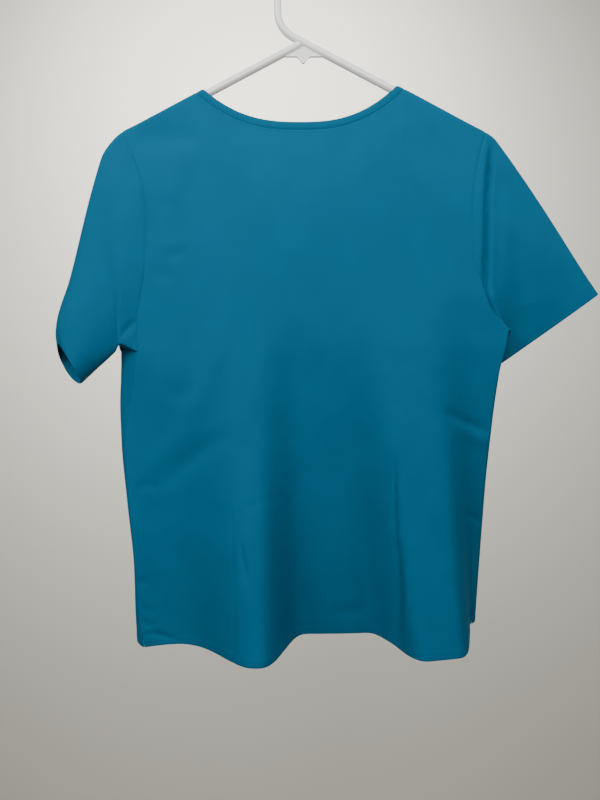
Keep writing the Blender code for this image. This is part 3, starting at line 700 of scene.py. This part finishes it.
def make_stitches(name, lines, material):
    """Rows of short stitches along lines of points with outward directions."""
    rings = table("along radius", (-1.0, 0.0), (-0.85, 0.6), (-0.5, 1.0),
                  (0.5, 1.0), (0.85, 0.6), (1.0, 0.0))
    vertices, faces = [], []
    for points, outs in lines:
        walk = np.concatenate([[0.0], np.cumsum(np.linalg.norm(np.diff(points, axis=0), axis=1))])
        count = int(walk[-1] / STITCH_PITCH)
        for k in range(count):
            ends = walk[-1] * (np.array([k, k + STITCH_LENGTH / STITCH_PITCH]) + 0.1) / count
            (start, end), out = ([np.array([np.interp(at, walk, field[:, axis]) for axis in range(3)])
                                  for at in places] for field, places in ((points, ends), (outs, ends[:1])))
            out = out[0]
            ahead = (end - start) / 2
            across = np.cross(ahead, out)
            across /= np.linalg.norm(across)
            middle = (start + end) / 2 + out * STITCH_RADIUS * 0.4
            base = len(vertices)
            vertices += [middle + ahead * along + STITCH_RADIUS * radius
                         * (cos(angle) * across + sin(angle) * out)
                         for along, radius in zip(rings["along"][1:-1], rings["radius"][1:-1])
                         for angle in np.arange(6) * pi / 3]
            vertices += [middle - ahead, middle + ahead]
            for side in range(6):
                beside = (side + 1) % 6
                faces += [(base + ring * 6 + side, base + ring * 6 + beside,
                           base + ring * 6 + 6 + beside, base + ring * 6 + 6 + side) for ring in range(3)]
                faces += [(base + 24, base + beside, base + side),
                          (base + 25, base + 18 + side, base + 18 + beside)]
    mesh = bpy.data.meshes.new(name)
    mesh.from_pydata((np.array(vertices) * MM).tolist(), [], faces)
    mesh.materials.append(material)
    mesh.shade_smooth()
    made = added(name, mesh)
    bpy.ops.object.mode_set(mode="EDIT")
    bpy.ops.mesh.select_all(action="SELECT")
    bpy.ops.mesh.normals_make_consistent(inside=False)
    bpy.ops.object.mode_set(mode="OBJECT")
    return made


def panel_height(grid, creases, start):
    """How a body panel's skin rises: drawn in at its seams, creased, uneven, hemmed."""
    from_left, from_hem = walked(grid, 1), walked(grid, 0)
    to_seam = np.minimum(np.minimum(from_left, from_left[:, -1:] - from_left), from_hem[-1:] - from_hem)
    x, z = grid[..., 0], grid[..., 2]
    return settled(to_seam) * (TUCK_DEPTH + creased(x, z, creases) + uneven(x, z, start)
                               + hemmed(from_hem, HEM_DEPTH, from_left, start))


def panel_stitches(name, skin, out, material):
    """Stitches of a body panel: the hem, the vents, and the edge beside the neck seam."""
    neck = slice(SHOULDER_COLUMNS, -SHOULDER_COLUMNS)
    lines = [line_at(skin, out, HEM_DEPTH), line_at(skin[::-1, neck], out[::-1, neck], NECK_STITCH)]
    vent = slice(int(np.searchsorted(levels, HEM_DEPTH / 330)), int(np.searchsorted(levels, VENT_LEVEL)))
    for columns in (slice(None), slice(None, None, -1)):
        sideways = [field[vent, columns].transpose(1, 0, 2) for field in (skin, out)]
        lines.append(line_at(*sideways, VENT_STITCH))
    return make_stitches(name, lines, material)


def teal_twill(name):
    """Matte dyed twill: slight clouding of the dye, fine diagonal ribs and thicker yarns."""
    finish = Finish(name, Sheen_Weight=0.03, Sheen_Roughness=0.5, Sheen_Tint=(0.2, 0.75, 1.0, 1.0),
                    Specular_IOR_Level=0.10)
    place, sewn = finish.place(), finish.node("TexCoord", {}, {}, "UV")
    cloud, patch = finish.noise(place, 26.0, 4.0), finish.noise(place, 7.0, 2.0)
    speck = finish.noise(sewn, 1700.0, 2.0)
    turned = finish.node("Mapping", {}, {"Vector": sewn, "Rotation": (0.0, 0.0, radians(63.0))})
    ribs = finish.node("TexWave", {"wave_type": "BANDS", "wave_profile": "SIN"},
                       {"Vector": turned, "Scale": 310.0, "Distortion": 1.6, "Detail": 2.0,
                        "Detail Scale": 1.5})
    yarns = [finish.noise(finish.node("Mapping", {}, {"Vector": sewn, "Scale": stretch}), 1.0, 3.0)
             for stretch in ((1500.0, 45.0, 1.0), (45.0, 1500.0, 1.0))]
    tone = finish.range(cloud * 0.45 + patch * 0.25 + speck * 0.30, 0.36, 0.64)
    height = ribs * 0.45 + yarns[0] * 0.30 + yarns[1] * 0.25
    finish.set(Base_Color=finish.between(tone, TEAL_DEEP, TEAL_PALE),
               Roughness=finish.range(speck * 0.6 + cloud * 0.4, 0.35, 0.65, 0.74, 0.86),
               Normal=finish.bump(height, 0.00012, 0.75))
    return finish.material


body_twill = teal_twill("teal_twill")
thread = Finish("teal_thread", Specular_IOR_Level=0.15)
ply = thread.node("TexWave", {"wave_type": "BANDS"}, {"Vector": thread.place(), "Scale": 900.0})
thread.set(Base_Color=thread.between(thread.noise(thread.place(), 300.0), TEAL_DEEP, TEAL_PALE),
           Roughness=thread.range(ply, 0.0, 1.0, 0.5, 0.65), Normal=thread.bump(ply, 0.00004))

back_grid = panel_grid("back", back_section, BACK_NECK, -1.0)
back, back_skin, back_out = make_cloth("back_panel", back_grid, panel_height(back_grid, BACK_CREASES, 0.4),
                                       False, False, CLOTH_WALL, body_twill)
back_stitches = panel_stitches("back_stitches", back_skin, back_out, thread.material)
for piece in (back, back_stitches):
    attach(piece, "root")
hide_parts("back")


# ================================================================ THE FRONT PANEL
# Cut whole from the same twill, with a V neck.  It is sewn to the back at the shoulders and sides and
# reaches round past the side seams, and falls in two shallower folds behind the back.

FRONT_NECK = {"seam_z": -315.0, "edge_z": -300.0, "power": 1.15}
FRONT_TURN = 25.0                   # width over which it turns in from its outermost line
TURN_TOP_LEVEL = 1.13               # above it the panel starts at its armhole edge
TURN_BOW_POWER = 12.0               # just above the turn it bows only near its edges
TURN_BOW_FADE = 0.5                 # levels over which that dies away
TURN_POINTS = 80

FRONT_CREASES = table(
    "x0 z0 x1 z1 bend width power depth",
    (-150, -520, -60, -575, 12, 9, 2.0, -2.4),
    (-165, -545, -75, -610, 10, 8, 2.0, 2.0),
    (60, -470, 150, -530, -14, 10, 2.0, -2.2),
    (196, -560, 120, -600, 0, 6, 2.0, -2.6),
    (-70, -330, -30, -470, 8, 12, 2.0, 1.6),
    (55, -345, 25, -480, -8, 12, 2.0, 1.4),
    (-128, -560, -135, -715, 0, 4.0, 1.5, -2.6),
    (82, -610, 92, -745, 0, 3.6, 1.5, -2.8),
    (160, -640, 166, -770, 0, 5.0, 1.8, -2.0),
    (-186, -640, -150, -655, 0, 4, 2.0, -2.2))


def turn(edge, out, inner):
    """Quadratic curve from an edge through an outermost point to an inner one."""
    t = np.linspace(0.0, 1.0, TURN_POINTS)[:, None]
    pull = 2.0 * out - (edge + inner) / 2.0
    return (1 - t) ** 2 * edge + 2 * t * (1 - t) * pull + t * t * inner


def front_section(level):
    """The front panel's section: round each side from the seam, then across behind the back."""
    left, right = edge_point("front", "left", level), edge_point("front", "right", level)
    middle, out_left, y_left, out_right, y_right = read(
        BODY, "front_mid out_left out_left_y out_right out_right_y", level)
    if level >= TURN_TOP_LEVEL:
        x = np.linspace(left[0], right[0], SECTION_POINTS)
        extra = (TURN_BOW_POWER - BOW_POWER) * flank(level - TURN_TOP_LEVEL, TURN_BOW_FADE, 2.0)
        y = bowed(x, left, right, middle, BOW_POWER + extra)
        return x, y + fold_depth("front", x, left, right)
    x = np.linspace(out_left + FRONT_TURN, out_right - FRONT_TURN, SECTION_POINTS)
    y = middle + fold_depth("front", x, left, right)
    start = turn(left[:2], np.array([out_left, y_left]), np.array([x[0], y[0]]))
    end = turn(right[:2], np.array([out_right, y_right]), np.array([x[-1], y[-1]]))
    path = np.vstack([start[:-1], np.column_stack([x, y]), end[::-1][1:]])
    return path[:, 0], path[:, 1]


front_grid = panel_grid("front", front_section, FRONT_NECK, 1.0)
front, front_skin, front_out = make_cloth(
    "front_panel", front_grid, panel_height(front_grid, FRONT_CREASES, 2.1), False, True, CLOTH_WALL,
    body_twill)
front_stitches = panel_stitches("front_stitches", front_skin, front_out, thread.material)
for piece in (front, front_stitches):
    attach(piece, "root")
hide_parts("front")


# ================================================================ THE SLEEVES
# Short set-in sleeves, each one piece of the same twill with its seam under the arm, sewn to both
# panels round the armhole.  They hang folded nearly flat, with a deep turned hem at the cuff.

ARMHOLE_FADE = 0.75                 # share of the sleeve over which the armhole's curve dies away
SLEEVE_RINGS = 92
CUFF_DEPTH = 19.0                   # from the cuff's edge in to its stitches

# The top fold and the under fold from the armhole (share 0) to the cuff (share 1), and how far the
# near and the far layer stand off the flat between the two folds.
SLEEVES = {
    "left": {
        "near_lean": (-0.38, 1.0, 0.0),
        "far_lean": (-0.50, 1.0, -0.09),
        "round": 0.7,
        "near_bow": 0.32,
        "top": table(
            "share x y z",
            (0.00, -TIP_X, 0.0, TIP_Z),
            (0.05, -219.0, 0.0, -200.0),
            (0.14, -233.5, 0.0, -219.5),
            (0.20, -238.5, 0.0, -234.0),
            (0.70, -272.5, 0.0, -365.0),
            (0.94, -288.0, 0.0, -425.0),
            (1.00, -286.0, 0.0, -439.0)),
        "under": table(
            "share x y z",
            (0.00, -187.0, -22.0, -450.0),
            (0.14, -205.5, -25.0, -442.0),
            (0.35, -216.5, -14.0, -450.0),
            (1.00, -257.5, -4.0, -485.0)),
        "fullness": table(
            "share near far",
            (0.00, 0.0, 0.0),
            (0.30, 10.0, 16.0),
            (1.00, 32.0, 50.0)),
        "near": table(
            "x0 z0 x1 z1 bend width power depth",
            (-232, -260, -262, -400, 0, 20, 2.0, -2.0),
            (-208, -442, -190, -414, -2, 2.4, 1.4, -3.2),
            (-200, -442, -184, -418, 0, 3.0, 2.0, 0.4),
            (-196, -225, -214, -300, 0, 10, 2.0, -1.0)),
        "far": table(
            "x0 z0 x1 z1 bend width power depth",
            (-215, -250, -240, -400, 6, 16, 2.0, -2.0),
            (-222, -420, -262, -450, 0, 7, 2.0, -1.8)),
        "fold": None,
    },
    "right": {
        "near_lean": (0.1, 1.0, 0.0),
        "far_lean": (0.1, 1.0, 0.0),
        "round": 0.25,
        "near_bow": 0.5,
        "top": table(
            "share x y z",
            (0.00, TIP_X, 0.0, TIP_Z),
            (0.05, 221.0, 0.0, -200.0),
            (0.10, 229.0, 0.0, -210.0),
            (1.00, 343.5, 0.0, -382.0)),
        "under": table(
            "share x y z",
            (0.00, 236.0, -12.0, -424.0),
            (0.08, 239.5, -8.0, -425.0),
            (0.30, 238.5, 4.0, -437.0),
            (1.00, 233.0, 22.0, -464.0)),
        "fullness": table(
            "share near far",
            (0.00, 0.0, 0.0),
            (0.30, 7.0, 9.0),
            (1.00, 8.0, 13.0)),
        "near": table(
            "x0 z0 x1 z1 bend width power depth",
            (225, -215, 222, -385, 0, 10, 2.0, -2.5),
            (228, -238, 262, -392, 0, 15, 2.0, -3.5)),
        "far": table(
            "x0 z0 x1 z1 bend width power depth",
            (226, -240, 268, -395, -8, 15, 2.0, -2.6),
            (215, -290, 222, -400, 0, 7, 2.0, -2.0)),
        # A fold down the near layer beside the armhole seam
        "fold": table(
            "z x",
            (-424, 238), (-415, 226), (-404, 217), (-379, 209), (-345, 210), (-299, 211),
            (-252, 214), (-206, 219)),
    },
}
FOLD_WIDTH, FOLD_POWER, FOLD_DEPTH = 4.2, 1.8, -6.0
RIDGE_OFFSET, RIDGE_WIDTH, RIDGE_HEIGHT = -7.0, 6.0, 1.5

ring_shares = spaced(0.0, 1.0, SLEEVE_RINGS, (0.0, 0.02, 2.5), (0.92, 0.02, 2.5), (1.0, 0.01, 2.5))
down = 2.0 - levels[SIDE_ROWS:][::-1]           # 0 at the shoulder tip to 1 at the underarm


def sleeve_grid(side, near_edge, far_edge):
    """A sleeve's skin: rings from the armhole out to the cuff.

    A ring runs from the top fold down the near layer to the under fold and back up the far one.
    """
    cut = SLEEVES[side]
    near_lean, far_lean = np.array(cut["near_lean"]), np.array(cut["far_lean"])
    chord = ((1 - cut["round"]) * down + cut["round"] * (1 - np.cos(pi * down)) / 2)[:, None]
    bow = 4 * chord * (1 - chord)
    start = read(cut["top"], "x y z", 0.0)
    flat = start + (read(cut["under"], "x y z", 0.0) - start) * chord
    rings = []
    for share in ring_shares:
        top, under = read(cut["top"], "x y z", share), read(cut["under"], "x y z", share)
        near, far = read(cut["fullness"], "near far", share)
        fade = max(0.0, 1.0 - share / ARMHOLE_FADE) ** 2
        line = top + (under - top) * chord
        front_half = line - near_lean * near * bow ** cut["near_bow"] + (near_edge - flat) * fade
        rear_half = line + far_lean * far * np.sqrt(bow) + (far_edge - flat) * fade
        rings.append(np.vstack([front_half, rear_half[::-1][1:-1]]))
    return np.array(rings)


def sleeve_height(side, grid, start):
    """How a sleeve's skin rises: creases on each layer, drawn in at the armhole, hemmed at the cuff."""
    cut = SLEEVES[side]
    x, z = grid[..., 0], grid[..., 2]
    inside = np.clip(8.0 * down * (1.0 - down), 0.0, 1.0)
    near = np.concatenate([inside, np.zeros(len(down) - 2)])
    far = np.concatenate([np.zeros(len(down)), inside[::-1][1:-1]])
    raised = near * creased(x, z, cut["near"]) + far * creased(x, z, cut["far"])
    if cut["fold"]:
        line = cut["fold"]
        across = x - smooth(line["z"], line["x"], z)
        ends = (np.clip((line["z"][-1] + 6.0 - z) / 14.0, 0.0, 1.0)
                * np.clip((z - line["z"][0]) / 4.0, 0.0, 1.0))
        raised += near * ends * (FOLD_DEPTH * np.exp(-np.abs(across / FOLD_WIDTH) ** FOLD_POWER)
                                 + RIDGE_HEIGHT * np.exp(-((across - RIDGE_OFFSET) / RIDGE_WIDTH) ** 2))
    from_armhole, around = walked(grid, 0), walked(grid, 1)
    return settled(from_armhole) * (TUCK_DEPTH + raised + uneven(x, z, start)
                                    + hemmed(from_armhole[-1:] - from_armhole, CUFF_DEPTH, around, start))


for side, column, start in (("left", 0, 0.9), ("right", -1, 3.3)):
    near_edge, far_edge = (panel[SIDE_ROWS:, column][::-1] for panel in (back_grid, front_grid))
    grid = sleeve_grid(side, near_edge, far_edge)
    sleeve, skin, out = make_cloth(f"{side}_sleeve", grid, sleeve_height(side, grid, start),
                                   True, side == "left", CLOTH_WALL, body_twill)
    line, outs = line_at(skin[::-1], out[::-1], CUFF_DEPTH)
    cuff = make_stitches(f"{side}_cuff_stitches",
                         [(np.vstack([line, line[:1]]), np.vstack([outs, outs[:1]]))], thread.material)
    for piece in (sleeve, cuff):
        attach(piece, "root")
    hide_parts(f"sleeve_{side}")


# ================================================================ THE NECKBANDS
# A narrow band of the same twill, folded double and sewn round the neck opening in two lengths that
# join at the shoulders.  The front one is mitred at the point of the V.

BAND_WALL = 1.5
BAND_ROWS = 12
BAND_CROWN = 0.2                    # how far a band bows out between its edges

band_twill = teal_twill("neckband_twill")


def band_grid(panel_top, neck, outward):
    """A neckband's skin, from the neck seam to its folded edge."""
    seam = panel_top[SHOULDER_COLUMNS:-SHOULDER_COLUMNS]
    x, z = neck_curve(neck, "edge", neck_shares)
    edge = np.column_stack([x, outward * roll(shoulder_line(x) - z), z])
    inside = np.clip((1 - np.abs(neck_shares)) * 20, 0, 1)[:, None]
    crown = np.array([0.0, outward * BAND_CROWN, 0.0]) * inside
    rows = spaced(0.0, 1.0, BAND_ROWS, (0.0, 0.12, 3.0), (1.0, 0.12, 3.0))
    return np.array([seam + (edge - seam) * share + crown * 4 * share * (1 - share) for share in rows])


for name, panel, neck, outward, mitre, length in (("back", back_grid, BACK_NECK, -1.0, 0.0, 0.290),
                                                  ("front", front_grid, FRONT_NECK, 1.0, 0.6, 0.450)):
    grid = band_grid(panel[-1], neck, outward)
    from_seam, along = walked(grid, 0), walked(grid, 1)
    to_join = np.minimum(along, along[:, -1:] - along)
    height = (settled(np.minimum(from_seam, to_join)) * TUCK_DEPTH
              - 0.5 * np.exp(-((from_seam[-1:] - from_seam) / 1.0) ** 2)
              - mitre * np.exp(-((grid[..., 0] - NECK_CENTRE_X) / 0.9) ** 2))
    band, _, _ = make_cloth(f"{name}_neckband", grid, height, False, outward > 0, BAND_WALL, band_twill)
    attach(band, "root")
    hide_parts(f"neckband_{name}")


# ================================================================ THE ROOM
# A pale floor that runs up into a pale wall in one soft curve.  Large soft lamps stand on both sides,
# in front and above, one lights the wall and a weak one lights the garment's hidden side.

FLOOR_Z = -3.0
FLOOR_FRONT = -6.0
WALL_Y = 1.55
WALL_TOP = 4.0
COVE = 0.45
COVE_STEPS = 24
ROOM_HALF_WIDTH = 6.0
PALE = (0.72, 0.70, 0.64)

turns = np.linspace(0.0, pi / 2, COVE_STEPS + 1)
profile = [(FLOOR_FRONT, FLOOR_Z),
           *((WALL_Y - COVE + COVE * sin(at), FLOOR_Z + COVE - COVE * cos(at)) for at in turns),
           (WALL_Y, WALL_TOP)]
count = len(profile)
room_mesh = bpy.data.meshes.new("room")
room_mesh.from_pydata([(x, y, z) for x in (-ROOM_HALF_WIDTH, ROOM_HALF_WIDTH) for y, z in profile], [],
                      [(k, k + count, k + count + 1, k + 1) for k in range(count - 1)])
room_mesh.shade_smooth()
room = added("room", room_mesh)
paint = Finish("pale_paint", Specular_IOR_Level=0.2)
grain = paint.noise(paint.place(), 160.0, 4.0)
paint.set(Base_Color=(*PALE, 1.0), Roughness=paint.range(grain, 0.3, 0.7, 0.82, 0.92),
          Normal=paint.bump(grain, 0.0004, 0.5))
room.data.materials.append(paint.material)

world = bpy.data.worlds.new("room_light")
bpy.context.scene.world = world
world.use_nodes = True
world.node_tree.nodes["Background"].inputs["Color"].default_value = (0.95, 0.98, 1.0, 1.0)
world.node_tree.nodes["Background"].inputs["Strength"].default_value = 0.11


def lamp(name, place, aim, size, power, colour):
    """A square soft light aimed at a point."""
    light = bpy.data.lights.new(name, "AREA")
    light.size, light.energy, light.color = size, power, colour
    made = bpy.data.objects.new(name, light)
    made.location = place
    ahead = np.array(aim) - np.array(place)
    flat = np.hypot(ahead[0], ahead[1])
    made.rotation_euler = (np.arctan2(flat, -ahead[2]), 0.0, np.arctan2(-ahead[0], ahead[1]))
    bpy.context.scene.collection.objects.link(made)
    made.visible_camera = False
    return made


lamp("lamp_left", (-0.90, -0.75, 0.42), (0.0, 0.0, -0.30), 0.6, 14.0, (1.0, 0.98, 0.95))
lamp("lamp_right", (0.90, -0.75, 0.42), (0.0, 0.0, -0.30), 0.6, 9.5, (1.0, 0.98, 0.95))
lamp("lamp_front", (-0.1, -1.3, 0.15), (0.0, 0.0, -0.3), 0.7, 13.0, (1.0, 0.98, 0.95))
lamp("lamp_top", (0.0, -0.35, 0.45), (0.0, 0.0, -0.10), 0.3, 1.0, (1.0, 0.98, 0.95))
lamp("lamp_wall", (-0.20, 0.60, 0.65), (-0.20, 1.55, 0.05), 1.2, 52.0, (1.0, 0.98, 0.92))
lamp("lamp_behind", (0.3, 1.1, 0.3), (0.0, 0.0, -0.4), 0.8, 12.0, (1.0, 0.98, 0.95))

eye = bpy.data.cameras.new("camera")
eye.lens = 27.0
camera = bpy.data.objects.new("camera", eye)
camera.location = (-0.0041, -0.7, -0.5047)
camera.rotation_euler = (pi / 2, 0.0, 0.0)
bpy.context.scene.collection.objects.link(camera)
bpy.context.scene.camera = camera
